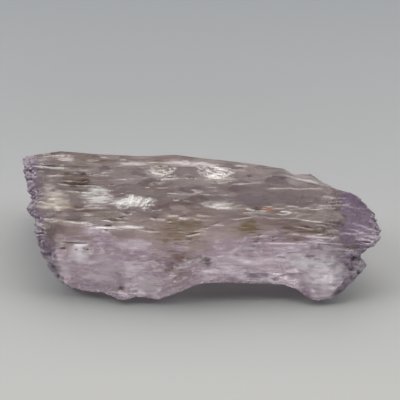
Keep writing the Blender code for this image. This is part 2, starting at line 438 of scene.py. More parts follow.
# How far the crystal reaches along x at each end, by the place around it.
LEFT_REACH = (
    (0.0, -25.2), (1.0, -25.6), (1.22, -26.5), (1.46, -27.4), (1.73, -28.2), (2.0, -28.9),
    (2.15, -29.2), (2.32, -29.3), (2.38, -30.2), (2.48, -31.2), (2.55, -30.8), (2.6, -30.2),
    (2.7, -30.7), (2.8, -31.3), (3.0, -31.8), (4.0, -32.2), (5.0, -31.2), (6.0, -28.6), (7.0, -25.2))
RIGHT_REACH = (
    (0.0, 25.0), (1.0, 26.2), (1.2, 28.3), (1.33, 29.3), (1.46, 30.1), (1.55, 29.6),
    (1.65, 28.7), (1.78, 28.8), (1.9, 30.0), (2.05, 31.1), (2.2, 32.1), (2.32, 32.6),
    (2.5, 32.6), (2.66, 32.3), (2.8, 31.9), (2.9, 30.6), (3.0, 28.8), (3.2, 27.2), (4.0, 24.3),
    (5.0, 25.4), (6.0, 24.4), (7.0, 25.0))

CHIPS = (
    Chip((3.0, 7.5, 15.3), (4.0, 2.5, 1.9)),
    Chip((-6.6, 7.7, 15.3), (3.0, 2.2, 1.5)),
    Chip((17.9, 10.7, 12.2), (1.4, 1.8, 1.5)),
    Chip((28.9, -9.9, 6.6), (1.7, 1.9, 2.6)),
)

# Ledges by place.
LEDGES = (
    Ledge(2.92, 3.02, -29.5, -17.5, 0.45), Ledge(2.55, 2.66, 1.5, 18.5, 0.35),
    Ledge(2.34, 2.52, -26.5, -8.5, 0.4), Ledge(2.02, 2.11, -26.0, -14.0, 0.35),
    Ledge(2.12, 2.3, 4.0, 24.0, 0.4), Ledge(2.7, 2.84, -6.0, 12.5, 0.3),
    Ledge(3.1, 3.55, 4.5, 25.0, 0.5), Ledge(3.45, 3.85, -34.0, -22.0, 0.4),
    Ledge(1.35, 1.6, -22.0, 0.0, 0.4), Ledge(1.55, 1.9, 8.0, 24.0, 0.45),
    Ledge(4.3, 4.75, -18.0, 9.0, 0.9), Ledge(5.3, 5.7, -26.0, -6.0, 0.8),
    Ledge(4.85, 5.35, 6.0, 28.0, 0.9), Ledge(6.0, 6.28, -32.0, -17.0, 0.5),
    Ledge(6.0, 6.22, 5.0, 16.0, 0.4), Ledge(6.72, 7.0, -24.0, -15.0, 0.4),
)

# Iron stain, frosted cracks that are partly painted highlights, pale skins, patches of painted glow, and
# dark slits whose dark is painted shade: x, place, half run, half width, strength.
SPOTS = {
    Mark.BROWN: (
        (-22.3, 2.83, 4.0, 1.8, 1.0), (-21.5, 2.49, 3.6, 1.4, 0.7), (-3.3, 1.55, 3.4, 2.6, 0.8),
        (17.5, 2.1, 7.0, 1.6, 0.45), (-21.0, 2.12, 4.0, 1.4, 0.4), (20.0, 2.55, 5.0, 1.2, 0.35),
        (-6.0, 2.78, 3.0, 1.0, 0.4), (12.0, 2.85, 5.0, 1.0, 0.35), (-3.3, 1.9, 4.6, 1.8, 1.0),
        (22.0, 1.95, 5.0, 1.0, 0.5), (-20.0, 3.5, 7.0, 1.8, 0.8), (-9.0, 3.5, 6.0, 1.6, 0.7),
        (18.5, 2.26, 6.0, 1.8, 0.8), (-17.0, 2.75, 2.0, 1.6, 0.45), (10.3, 2.1, 0.8, 1.8, 0.7),
        (-2.5, 2.6, 4.0, 2.0, 0.35), (-3.2, 1.25, 3.0, 1.0, 0.6), (-20.5, 2.12, 3.6, 1.0, 0.5),
    ),
    Mark.OLIVE: (
        (-20.8, 2.68, 3.2, 2.2, 0.6), (-3.0, 2.32, 5.6, 3.2, 1.0), (9.0, 2.29, 2.8, 2.8, 0.95),
        (-16.0, 2.42, 5.5, 1.2, 0.55), (-5.0, 2.05, 3.5, 1.2, 0.6),
    ),
    Mark.RUST: (
        (12.5, 2.54, 2.0, 0.7, 1.0), (8.6, 2.49, 1.1, 0.3, 0.6), (1.5, 2.50, 1.4, 0.5, 0.2),
    ),
    Mark.CREAM: (
        (-26.2, 2.55, 3.2, 3.4, 0.7), (-25.8, 2.49, 1.8, 1.3, 1.0), (-22.2, 2.95, 3.6, 0.45, 0.4),
        (-27.0, 2.72, 1.6, 1.2, 0.5),
    ),
    # White crack veils, partly painted highlights: the glare in the chip at x 3.6 and the glints at x -7.8
    # and 15.7 are painted.
    Mark.FROST: (
        (-18.4, 2.64, 3.8, 1.8, 0.9), (-12.8, 2.6, 4.0, 1.2, 0.7), (3.6, 2.59, 2.2, 0.8, 0.6),
        (15.7, 2.50, 1.2, 0.35, 0.9), (-12.5, 2.32, 2.6, 0.5, 0.6), (3.6, 2.93, 3.2, 1.5, 0.4),
        (-7.8, 2.95, 1.9, 1.0, 0.5), (-16.5, 2.28, 5.0, 0.3, 0.6), (19.5, 3.2, 3.4, 0.8, 0.5),
        (20.2, 2.41, 5.3, 0.18, 0.6), (22.1, 2.05, 5.0, 0.3, 0.7), (28.4, 2.37, 2.0, 0.26, 0.5),
        (29.3, 2.49, 1.8, 0.26, 0.4), (29.6, 2.25, 1.8, 0.26, 0.5),
    ),
    # Painted glow: near-white patches on the front and the top strip, standing in for light that shines
    # through the crystal.
    Mark.GLOW: (
        (-11.5, 3.3, 4.0, 1.2, 0.45), (-1.0, 3.4, 4.8, 1.5, 0.5), (-21.2, 1.9, 2.3, 1.9, 0.9),
        (18.5, 1.62, 2.4, 1.2, 1.0), (22.0, 1.53, 3.4, 3.2, 1.0), (24.6, 1.5, 0.7, 0.8, 0.7),
        (-14.0, 1.62, 5.0, 0.8, 0.45), (8.0, 1.55, 5.0, 1.6, 0.2), (20.5, 2.16, 2.6, 0.7, 0.6),
        (-18.0, 1.35, 3.0, 0.8, 0.5), (-9.5, 1.35, 2.4, 1.4, 0.6), (6.0, 1.75, 4.5, 1.2, 0.25),
        (-24.0, 1.5, 1.6, 1.0, 0.6), (-17.0, 1.8, 2.0, 0.8, 0.5),
    ),
    # Dark slits: the slit depth cuts them, and their dark colour is painted shade.
    Mark.DARK: (
        (10.5, 2.53, 1.6, 0.36, 1.0), (-27.0, 2.99, 2.6, 0.4, 1.0), (-21.6, 2.34, 1.9, 0.45, 0.8),
        (-22.1, 2.02, 3.1, 0.34, 0.9), (1.5, 1.79, 1.1, 0.36, 1.0), (1.7, 1.66, 0.9, 0.32, 1.0),
        (-14.0, 1.27, 0.7, 0.45, 1.0), (3.6, 3.03, 3.2, 0.26, 0.7), (10.9, 2.16, 0.6, 0.55, 0.9),
        (10.2, 2.02, 0.8, 0.45, 0.9), (13.4, 2.12, 0.5, 0.45, 0.9), (-16.5, 2.25, 0.4, 0.26, 0.8),
        (-4.0, 2.66, 0.5, 0.26, 0.7), (-7.7, 2.44, 0.6, 0.26, 0.8), (-22.0, 2.78, 3.2, 0.26, 0.8),
        (-21.5, 2.7, 2.6, 0.26, 0.7), (-3.0, 2.47, 0.7, 0.3, 0.7), (-5.2, 2.42, 0.5, 0.3, 0.6),
        (-8.5, 2.3, 2.4, 0.26, 0.6), (-1.0, 2.28, 2.0, 0.26, 0.5), (-15.0, 2.38, 3.0, 0.26, 0.6),
        (20.0, 2.3, 2.5, 0.26, 0.5),
    ),
    Mark.LINED: (
        (-20.0, 2.98, 10.5, 0.5, 0.6), (-18.1, 2.34, 8.8, 1.6, 1.0), (-22.5, 2.9, 6.7, 0.6, 1.0),
        (-0.5, 2.3, 6.0, 2.2, 0.8), (16.8, 2.5, 8.5, 0.7, 0.8), (23.1, 2.2, 4.0, 2.0, 0.8),
        (30.0, 2.2, 3.0, 3.0, 1.0), (21.5, 1.7, 4.0, 1.6, 0.5),
    ),
}

FEATHERS = (
    Feather(-10.6, 2.61, 2.8, 1.35, 55.0, 9.0, 1.0),
    Feather(-13.4, 2.56, 1.6, 0.7, 40.0, 9.0, 1.0),
    Feather(3.5, 3.08, 3.0, 1.7, 32.0, 5.0, 0.7),
    Feather(-5.6, 2.9, 2.6, 0.9, 22.0, 14.0, 0.4),
)


@dataclass
class CrystalForm:
    """The crystal's whole shape, as rings of points from the left end to the right end.

    Attributes:
        stations: Rings along the prism.
        cap_rings: Rings on each end face.
        end_crowding: How much the stations crowd towards the ends, from 0 to 1.
        ledge_riser: The width of the slope at a ledge's side.
        ledge_share: The share of the solid's depth that a ledge keeps, as deeper ones look drawn.
        ledge_bluntness: The power that squares off a ledge's ends.
        ledge_kept: The least share of its depth that a ledge fades to.
        small_ledge_count: How many ledges are scattered over the faces.
        poles: The left and the right end face's middle in y and z.
        bevels: How far in the left and the right rim is rounded, and over how long a run.
        cap_lump: The width and the height of the lumps on the end faces.
        cap_sink: How deep the end faces lie in from the rims, in heights of a lump.
        cap_settle: How soon the rings settle onto the end face's plane, from rim to pole.
        facet_start: Where along x the broad face starts to fall away.
        facet_slope: How steeply it falls.
        facet_places: The places over which the fall fades in and out.
        facet_violet: Where along x that facet turns violet.
        resting_face: The number of the face that the crystal lies on.
        relief_places: The places between which the surface has fine relief.
        shoulder: The places between which the front shoulder is rounded.
        slit_depth: How deep the dark slits are.
        splinter_depth: How far a feather's splinters stand apart in height.
        crusts: The distances from the left and the right rim over which the etched crust ends.
        violet_ends: The same for the violet ends.
        shift: How far the whole shape moves onto the frame's node, known once the crystal is built.
    """

    stations: int = 320
    cap_rings: int = 36
    end_crowding: float = 0.3
    ledge_riser: float = 0.35
    ledge_share: float = 0.18
    ledge_bluntness: int = 8
    ledge_kept: float = 0.15
    small_ledge_count: int = 60
    poles: tuple[Pair, Pair] = ((3.2, 6.9), (-0.6, 5.8))
    bevels: tuple[Pair, Pair] = ((1.1, 2.3), (0.7, 1.4))
    cap_lump: Pair = (2.3, 1.7)
    cap_sink: float = 1.3
    cap_settle: float = 2.6
    facet_start: float = 26.6
    facet_slope: float = 0.14
    facet_places: tuple[float, float, float, float] = (2.08, 2.5, 2.85, 3.0)
    facet_violet: Pair = (25.2, 25.9)
    resting_face: int = 6
    relief_places: Pair = (0.9, 6.05)
    shoulder: Pair = (1.62, 2.2)
    slit_depth: float = 0.25
    splinter_depth: float = 0.2
    crusts: tuple[Pair, Pair] = ((1.0, 1.9), (0.7, 1.5))
    violet_ends: tuple[Pair, Pair] = ((0.5, 3.5), (1.6, 2.8))
    shift: Array = field(default_factory=lambda: np.zeros(3))

    def places(self) -> Array:
        """The place of each mesh column around the crystal."""
        return np.concatenate([n + np.arange(e.columns) / e.columns for n, e in enumerate(EDGE_LINES)])

    def middle(self) -> Array:
        """The y and z of each edge line at the crystal's middle."""
        return np.array([[line.at(0, axis) for axis in (1, 2)] for line in EDGE_LINES])

    def marks(self) -> Array:
        """The distance around the crystal's middle at which each edge line lies."""
        middle = self.middle()
        widths = [math.dist(a, b) for a, b in zip(middle, np.roll(middle, -1, axis=0))]
        return np.concatenate([[0], np.cumsum(widths)])

    def distance(self, place: Array) -> Array:
        """Places around the crystal as distances in mm."""
        marks = self.marks()
        return np.interp(place, range(len(marks)), marks)

    def place_at(self, distance: Array) -> Array:
        """Distances around the crystal as places."""
        marks = self.marks()
        return np.interp(distance, marks, range(len(marks)))

    def section(self, place: Array, x: Array) -> Array:
        """The bare prism: each edge line followed along x, and a straight line between two of them.

        Args:
            place: Places around the crystal, as rings of columns.
            x: Their x.

        Returns:
            Their points.
        """
        lines = np.array([[line.at(x, axis) for line in EDGE_LINES] for axis in (1, 2)])
        first = np.floor(place).astype(int) % len(EDGE_LINES)
        share = place - np.floor(place)
        start = np.take_along_axis(lines, first[None, None], axis=1)[:, 0]
        end = np.take_along_axis(lines, (first[None, None] + 1) % len(EDGE_LINES), axis=1)[:, 0]
        return stacked(x, *(start + (end - start) * share))

    def rounded_shoulder(self, place: Array, x: Array) -> Array:
        """The bare prism with its front shoulder rounded along a quadratic curve.

        The curve runs from a point before the shoulder to one after it, and the shoulder pulls it:
        (1 - t)^2 a + 2 t (1 - t) b + t^2 c.

        Args:
            place: Places around the crystal, as rings of columns.
            x: Their x.

        Returns:
            Their points.
        """
        start, end = self.shoulder
        t = np.clip((place - start) / (end - start), 0, 1)[..., None]
        a, b, c = (self.section(np.full_like(place, at), x) for at in (start, 2.0, end))
        eased = (1 - t) ** 2 * a + 2 * t * (1 - t) * b + t ** 2 * c
        inside = (place > start) & (place < end)
        return np.where(inside[..., None], eased, self.section(place, x))

    def small_ledges(self) -> list[Ledge]:
        """The ledges scattered over the faces, drawn from fixed ranges, by distance in mm."""
        draw = np.random.default_rng(7)
        marks = self.marks()
        rows = []
        for _ in range(self.small_ledge_count):
            face = draw.choice((1, 2, 2, 2, 3, 4, 5))
            width = draw.uniform(0.8, 2.4)
            start = draw.uniform(marks[face] + 0.9, marks[face + 1] - 0.9 - width)
            middle = draw.uniform(-29.0, 27.0)
            run = draw.uniform(3.0, 14.0)
            depth = draw.uniform(0.12, 0.32)
            rows.append(Ledge(start, start + width, middle - run, middle + run, depth))
        return rows

    def straight_place(self, place: Array, points: Array) -> Array:
        """Places by lines that run parallel to x, which is how growth lines run.

        Each point is dropped at right angles onto its face as that lies at the crystal's middle.

        Args:
            place: Places around the crystal, which tell the faces apart.
            points: Their points.

        Returns:
            The places.
        """
        middle = self.middle()
        face = np.floor(place).astype(int) % len(middle)
        side = (np.roll(middle, -1, axis=0) - middle)[face]
        share = ((points[..., 1:] - middle[face]) * side).sum(axis=-1) / (side ** 2).sum(axis=-1)
        return face + np.clip(share, 0, 0.9999)

    def ledge_relief(self, place: Array, x: Array) -> Array:
        """How far the ledges step the surface in: flat floors with sloping sides, fading in and out.

        A ledge's half width is the root of 1 - t^8 of its full one, with t from -1 to 1 along it.
        Ledges before the front shoulder are left out.

        Args:
            place: Places around the crystal, by lines parallel to x.
            x: Their x.

        Returns:
            The depths.
        """
        distance = self.distance(place)
        depth = np.zeros_like(x)
        rows = [replace(row, start=float(self.distance(row.start)), stop=float(self.distance(row.stop)))
                for row in LEDGES] + self.small_ledges()
        shoulder = self.marks()[2]
        ragged = smooth_noise(stacked(distance, 0.5), size=(0.4, 1.0), seed=36, start=40) - 0.5
        fading = smooth_noise(stacked(distance, x), size=(0.9, 2.4), seed=37, start=40)
        for row in (row for row in rows if row.stop >= shoulder):
            along = (x - (row.x0 + row.x1) / 2) / ((row.x1 - row.x0) / 2) * (1 + 0.5 * ragged)
            rounding = np.sqrt(np.clip(1 - along ** self.ledge_bluntness, 0, 1))
            half_width = (row.stop - row.start) / 2 * rounding
            inside = (half_width - np.abs(distance - (row.start + row.stop) / 2)) / self.ledge_riser + 0.5
            depth += row.depth * np.clip(inside, 0, 1) * (np.abs(along) < 1)
        return depth * (self.ledge_kept + (1 - self.ledge_kept) * smoothstep(0.35, 0.65, fading))

    def growth_steps(self, points: Array, lined: Array) -> Array:
        """Lengthwise growth steps, all parallel to x: tipped plates, and two sizes of terraced lines.

        Args:
            points: Places on the prism in mm.
            lined: How strong the lines are at each of them, from 0 to 1.

        Returns:
            How far the surface steps in.
        """
        slabs = plates(points, size=(7.0, 1.2, 1.2), slope=0.7, seed=21)
        slivers = plates(points, size=(3.5, 0.5, 0.5), slope=0.6, seed=22)
        coarse = terraces(smooth_noise(points, size=(12.0, 0.8, 0.8), seed=23), levels=3, riser=0.3)
        fine = terraces(smooth_noise(points, size=(5.0, 0.34, 0.34), seed=24), levels=3, riser=0.4)
        return 0.03 * slabs + (0.045 * coarse + 0.025 * fine + 0.02 * slivers) * lined

    def dashes(self, points: Array) -> tuple[Array, Array, Array]:
        """Short grooves and ridges along the crystal, where single growth tubes and steps end.

        Each is a long ellipsoid around the random point of its cell: 1 - k d^2.

        Args:
            points: Places on the prism in mm.

        Returns:
            How far each steps in, and the masks of the dark ones, painted shade in some of the grooves, and
            of the pale ones, painted highlights on some of the ridges.
        """
        way, number = nearest_seed(points, size=(2.6, 0.42, 0.42), seed=27)
        kind = lattice_value(number, number >> 3, 28)
        near = np.clip(1 - 5 * (way ** 2).sum(axis=-1), 0, 1)
        cut = near * (kind < 0.22)
        raised = near * (kind > 0.8)
        return 0.14 * cut - 0.08 * raised, near * (kind < 0.09), 0.8 * near * (kind > 0.9)

    def fine_relief(self, place: Array, points: Array, masks: Masks) -> Array:
        """The growth steps and dashes, with lumps and knobs on the front, which leans under.

        Args:
            place: Places around the crystal.
            points: Their points on the bare prism.
            masks: The masks. The lined one gains patches and the back, and the dark and the frosted
                one gain dashes.

        Returns:
            How far the surface steps in.
        """
        front = 1 - smoothstep(1.9, 2.3, place)
        back = smoothstep(4.0, 4.4, place)
        patches = smoothstep(0.45, 0.75, smooth_noise(points, size=(8.0, 2.0, 2.0), seed=25))
        lined = np.clip(masks["lined"] + 0.6 * patches + 0.4 * back, 0, 1)
        lumps = smooth_noise(points, size=(4.5, 1.6, 1.6), seed=26) - 0.5
        knobs = smooth_noise(points, size=(1.7, 0.8, 0.8), seed=29) - 0.5
        grown = self.growth_steps(points, lined) * (1 + 0.8 * front)
        groove, dark, pale = self.dashes(points)
        rough = (place > self.relief_places[0]) & (place < self.relief_places[1])
        masks["lined"] = lined
        # Dark dashes are painted shade in grooves; pale dashes, painted highlights on ridges, join the frost
        # and glint mask.
        for name, dashed in (("dark", dark), ("frost", pale)):
            masks[name] = np.maximum(masks[name], dashed * lined * rough)
        return rough * (grown + groove * lined + lumps * (0.1 + 0.5 * front) + 0.16 * knobs * front)

    def end_facet(self, place: Array, x: Array) -> Array:
        """How far the broad face falls away towards the right end."""
        on_face = np.interp(place, self.facet_places, (0, 1, 1, 0))
        return on_face * self.facet_slope * np.maximum(x - self.facet_start, 0)

    def chipped(self, points: Array, inward: Array) -> tuple[Array, Array]:
        """Moves each point in a chip's hollow inwards to the far wall of the hollow's ellipsoid.

        In half sizes from the centre, p moves along d by the larger root of |p + t d| = 1.

        Args:
            points: The points.
            inward: The way into the crystal at each of them.

        Returns:
            The new points, and how far each moved.
        """
        moved = np.zeros(points.shape[:-1])
        for chip in CHIPS:
            p = (points - chip.centre) / chip.half
            d = inward / chip.half
            a, b, c = (d * d).sum(axis=-1), (p * d).sum(axis=-1), (p * p).sum(axis=-1) - 1
            travel = np.where(c < 0, (-b + np.sqrt(np.maximum(b * b - a * c, 0))) / a, 0)
            points = points + inward * travel[..., None]
            moved = moved + travel
        return points, moved

    def rounded_ends(self, place: Array, points: Array, gaps: tuple[Array, Array]) -> Array:
        """Draws the prism's ends in towards its middle, by the square of the nearness to the rim.

        Args:
            place: Places around the crystal.
            points: Their points.
            gaps: Their distances from the left rim and from the right rim.

        Returns:
            The new points.
        """
        flat = points[..., 1:]
        centre = flat.mean(axis=1, keepdims=True)
        corner = np.interp(place, (2.3, 2.8, 4.2, 5.0), (1, 0.15, 0.15, 1)) * (place < self.resting_face)
        for gap, (depth, run) in zip(gaps, self.bevels):
            inset = corner * depth * np.clip(1 - gap / run, 0, 1) ** 2
            away = flat - centre
            flat = flat - away * (inset / np.linalg.norm(away, axis=-1))[..., None]
        return np.concatenate([points[..., :1], flat], axis=-1)

    def reach(self, table: tuple[Pair, ...], place: Array, seed: int) -> Array:
        """How far the prism reaches along x, with wide and narrow jags.

        Args:
            table: The reach by place.
            place: Places around the crystal.
            seed: Chooses the jags.

        Returns:
            The rim's x.
        """
        distance = self.distance(place)
        wide = smooth_noise(stacked(distance, 0.5), size=(1.1, 1.0), seed=seed, start=20)
        narrow = smooth_noise(stacked(distance, 10.5), size=(0.45, 1.0), seed=seed, start=20)
        return np.interp(place, *zip(*table)) + 0.7 * (wide - 0.5) + 0.5 * (narrow - 0.5)

    def body(self) -> tuple[Array, Masks]:
        """The stations along the prism.

        Returns:
            The points, and for each the masks that the finish reads.
        """
        columns = self.places()
        t = np.linspace(0, 1, self.stations)
        eased = 0.5 - 0.5 * np.cos(math.pi * t)
        t = (t * (1 - self.end_crowding) + eased * self.end_crowding)[:, None]
        left = self.reach(LEFT_REACH, columns, seed=61)[None]
        right = self.reach(RIGHT_REACH, columns, seed=62)[None]
        x = left + (right - left) * t
        gaps = (x - left, right - x)
        place = np.broadcast_to(columns[None], x.shape)
        points = self.rounded_shoulder(place, x)
        around = np.roll(points, -1, axis=1) - np.roll(points, 1, axis=1)
        around[..., 0] = 0
        inward = np.cross(around, (1.0, 0, 0)) / np.linalg.norm(around, axis=-1, keepdims=True)
        masks, splinters = self.marks_laid(place, x)
        masks |= self.zones(place, x, gaps)
        depth = self.fine_relief(place, points, masks) + self.end_facet(place, x)
        depth += self.ledge_share * self.ledge_relief(self.straight_place(place, points), x)
        depth += self.slit_depth * masks["dark"] + self.splinter_depth * splinters
        points, moved = self.chipped(points + inward * depth[..., None], inward)
        masks["chip"] = smoothstep(0.02, 0.2, moved)
        # The lilac coat gives way under the painted glow and the painted shade of the slits.
        masks["lilac"] *= 1 - 0.9 * np.maximum(masks["glow"], masks["dark"])
        masks["lined"] *= 1 - 0.8 * masks["dark"]
        return self.rounded_ends(place, points, gaps), masks

    def zones(self, place: Array, x: Array, gaps: tuple[Array, Array]) -> Masks:
        """Where the surface is etched, violet, lilac, and seen only from behind or below.

        Args:
            place: Places around the crystal.
            x: Their x.
            gaps: Their distances from the left rim and from the right rim.

        Returns:
            A mask from 0 to 1 for each name.
        """
        around = stacked(self.distance(place), x)
        wobble = smooth_noise(around, size=(0.8, 1.1), seed=31, start=30) - 0.5
        slow = smooth_noise(around, size=(2.6, 3.4), seed=32) - 0.5
        front = 1 - smoothstep(1.75, 2.05, place)
        left = 1 - smoothstep(*self.crusts[0], gaps[0] - 0.6 * front + wobble * 1.4)
        right = 1 - smoothstep(*self.crusts[1], gaps[1] - 1.5 * front + wobble * 1.6)
        facet = smoothstep(2.0, 2.15, place) * (1 - smoothstep(3.1, 3.4, place))
        violet = [facet * smoothstep(*self.facet_violet, x + 2 * slow + 0.8 * wobble),
                  1 - smoothstep(*self.violet_ends[0], gaps[0] + slow * 2),
                  1 - smoothstep(*self.violet_ends[1], gaps[1] + slow * 0.8)]
        lilac = 1 - smoothstep(1.85, 2.25, place + slow * 0.6 + wobble * 0.15)
        # The faces seen only from behind or below get a pale coat: painted light, standing in for the light
        # that passes through the crystal.
        under = smoothstep(4.4, 5.0, place) + 1 - smoothstep(0.6, 1.05, place)
        return {"etched": np.maximum(left, right), "violet": np.max(violet, axis=0),
                "lilac": np.where(place < 0.5, 1, lilac), "under": np.clip(under, 0, 1)}

    def marks_laid(self, place: Array, x: Array) -> tuple[Masks, Array]:
        """Lays the spots and feathers: each fades from 1 at its middle to 0 at its ragged rim.

        A feather's splinters follow noise by the angle around the point where its fan starts.

        Args:
            place: Places around the crystal.
            x: Their x.

        Returns:
            A mask from 0 to 1 for each mark, and how far the feathers' splinters stand in or out.
        """
        distance = self.distance(place)
        wobble = smooth_noise(stacked(distance, x), size=(0.35, 1.2), seed=33, start=30) - 0.5
        slow = smooth_noise(stacked(distance, x), size=(1.2, 3.0), seed=34) - 0.5
        masks = {name: np.zeros_like(x) for name in ("plume", *(mark.value for mark in Mark))}
        for mark, rows in SPOTS.items():
            for spot in (Spot(*row) for row in rows):
                run = (x - spot.x) / spot.half_run
                width = (distance - self.distance(spot.place)) / spot.half_width
                uneven = min(1.0, spot.half_width / 0.8) * (wobble * 0.8 + slow * 0.5)
                near = 1 - smoothstep(0.15, 1.35, np.hypot(run, width) + uneven)
                masks[mark.value] = np.maximum(masks[mark.value], near * spot.strength)
        relief = np.zeros_like(x)
        for feather in FEATHERS:
            run, width = x - feather.x, distance - self.distance(feather.place)
            turn = math.radians(feather.turn)
            from_x, from_y = run + feather.reach * math.cos(turn), width + feather.reach * math.sin(turn)
            fan = stacked(np.arctan2(from_y, from_x) * feather.reach, np.hypot(from_x, from_y))
            splinters = smooth_noise(fan, size=(0.32, 1.5), seed=35, start=60)
            near = np.hypot(run / feather.half_run, width / feather.half_width) + wobble * 0.6 + slow * 0.5
            near = feather.strength * (1 - smoothstep(0.55, 1.15, near))
            relief = relief + near * (splinters - 0.5)
            # Painted glints: the plume coat is brightest on these splinters.
            lit = 0.25 + 0.75 * smoothstep(0.4, 0.7, splinters)
            masks["plume"] = np.maximum(masks["plume"], near * lit)
        return masks, relief

    def cap(self, rim: Array, pole: Pair, outward: int) -> Array:
        """Rings from an end's rim to its pole, which settle onto the plane nearest to the rim.

        Args:
            rim: The body's last ring at this end.
            pole: The end face's middle in y and z.
            outward: -1 at the left end, 1 at the right end.

        Returns:
            The rings, with etched lumps on them.
        """
        width, height = self.cap_lump
        share = (np.arange(1, self.cap_rings + 1) / self.cap_rings)[:, None]
        y = rim[None, :, 1] * (1 - share) + pole[0] * share
        z = rim[None, :, 2] * (1 - share) + pole[1] * share
        plane = np.linalg.lstsq(stacked(1.0, rim[:, 1], rim[:, 2]), rim[:, 0], rcond=None)[0]
        lumps = smooth_noise(stacked(y, z), size=(width, width), seed=11, start=20)
        lumps = terraces(lumps, levels=4, riser=0.2)
        flat = plane[0] + plane[1] * y + plane[2] * z + outward * (lumps - self.cap_sink) * height
        settled = np.minimum(share * self.cap_settle, 1)
        return stacked(rim[None, :, 0] * (1 - settled) + flat * settled, y, z)

    def grid(self) -> tuple[Array, Masks]:
        """All rings from the left pole to the right pole, with the etched grain on them.

        Returns:
            The points in mm, and the masks that the finish reads.
        """
        body, masks = self.body()
        left = self.cap(body[0], self.poles[0], -1)[::-1]
        right = self.cap(body[-1], self.poles[1], 1)
        points = np.concatenate([left, body, right])
        for name, mask in masks.items():
            ends = 1.0 if name in ("etched", "violet") else 0.0
            pad = np.full((self.cap_rings, mask.shape[1]), ends)
            masks[name] = np.concatenate([pad, mask, pad])
        points, masks["grain"] = self.roughened(points, masks)
        points[0] = points[0].mean(axis=0)
        points[-1] = points[-1].mean(axis=0)
        points[..., 2] = np.maximum(points[..., 2], 0)
        return points, masks

    def roughened(self, points: Array, masks: Masks) -> tuple[Array, Array]:
        """Moves points along their normals by etched grains, and by broken texture in the chips.

        Args:
            points: The rings in mm.
            masks: The masks, of which the etched and the chip one count here.

        Returns:
            The moved points, and the grains' height from 0 to 1.
        """
        along = np.gradient(points, axis=0)
        around = np.roll(points, -1, axis=1) - np.roll(points, 1, axis=1)
        normal = np.cross(along, around)
        normal /= np.maximum(np.linalg.norm(normal, axis=-1, keepdims=True), 1e-9)
        middle = points.mean(axis=(0, 1))
        facing = np.sign(((points - middle) * normal).sum(axis=-1).mean())
        coarse = grains(points, size=0.8, seed=41)
        fine = grains(points, size=0.42, seed=43)
        broken = plates(points, size=(0.9, 0.5, 0.5), slope=1.0, seed=47)
        height = masks["etched"] * (0.24 * coarse + 0.3 * fine - 0.3) + masks["chip"] * 0.16 * broken
        return points + normal * facing * height[..., None], np.clip(0.5 * coarse + 0.5 * fine, 0, 1)


def closed_skin(name: str, points: Array, masks: Masks) -> bpy.types.Mesh:
    """Skins rings of points whose first and last ring are one point each.

    Args:
        name: The mesh's name.
        points: The rings in metres.
        masks: Numbers for each point, which become attributes.

    Returns:
        The mesh, with its faces outwards.
    """
    rings, columns = points.shape[:2]
    flat = np.concatenate([points[:1, 0], points[1:-1].reshape(-1, 3), points[-1:, 0]])
    index = 1 + np.arange((rings - 2) * columns).reshape(rings - 2, columns)
    beside = np.roll(index, -1, axis=1)
    quads = stacked(index[:-1], index[1:], beside[1:], beside[:-1]).reshape(-1, 4)
    first = stacked(0, index[0], beside[0])
    last = stacked(len(flat) - 1, beside[-1], index[-1])
    a, b, c = (flat[quads[:, i]] for i in (0, 1, 2))
    if (np.cross(a, b) * c).sum() < 0:
        quads, first, last = quads[:, ::-1], first[:, ::-1], last[:, ::-1]
    mesh = bpy.data.meshes.new(name)
    mesh.from_pydata(flat.tolist(), [], quads.tolist() + first.tolist() + last.tolist())
    for label, mask in masks.items():
        values = np.concatenate([mask[:1, 0], mask[1:-1].reshape(-1), mask[-1:, 0]])
        attribute = mesh.attributes.new(label, "FLOAT", "POINT")
        attribute.data.foreach_set("value", values.astype(np.float32))
    return mesh


@dataclass(frozen=True)
class Pattern:
    """A noise stretched along the crystal.

    Attributes:
        name: Its name.
        size_mm: A cell's length along the crystal and its width across it.
        detail: How many finer layers it has.
        turn: How far it is turned from the crystal's length, in degrees.
    """

    name: str
    size_mm: Pair
    detail: float
    turn: float = 0.0

    def cells(self, tree: Tree, place: Socket) -> Socket:
        """Object coordinates, turned and then counted in cells.

        Args:
            tree: The material's node tree.
            place: The Object coordinates.

        Returns:
            The coordinates in cells.
        """
        length, width = (1 / (size * MM) for size in self.size_mm)
        turned = add_node(tree, "ShaderNodeMapping", {
            "Vector": place, "Rotation": (0.0, 0.0, -math.radians(self.turn))})
        return add_node(tree, "ShaderNodeMapping", {
            "Vector": turned.outputs[0], "Scale": (length, width, width)}).outputs[0]


@dataclass(frozen=True)
class Coat:
    """What one mask lays over the clear crystal, broken up by a pattern.

    Attributes:
        mask: The mask's name.
        pattern: The pattern's name.
        levels: The pattern's values between which the coat goes from its first to its second amount.
        amounts: Those two amounts.
        colour: The colour.
        clearness: How much light goes through, where the coat changes that.
        roughness: The roughness, where the coat changes that.
    """

    mask: str
    pattern: str
    levels: Pair
    amounts: Pair
    colour: str
    clearness: float | None = None
    roughness: float | None = None


# Nearly all of a noise lies between these two values.
MOST: Pair = (0.36, 0.64)


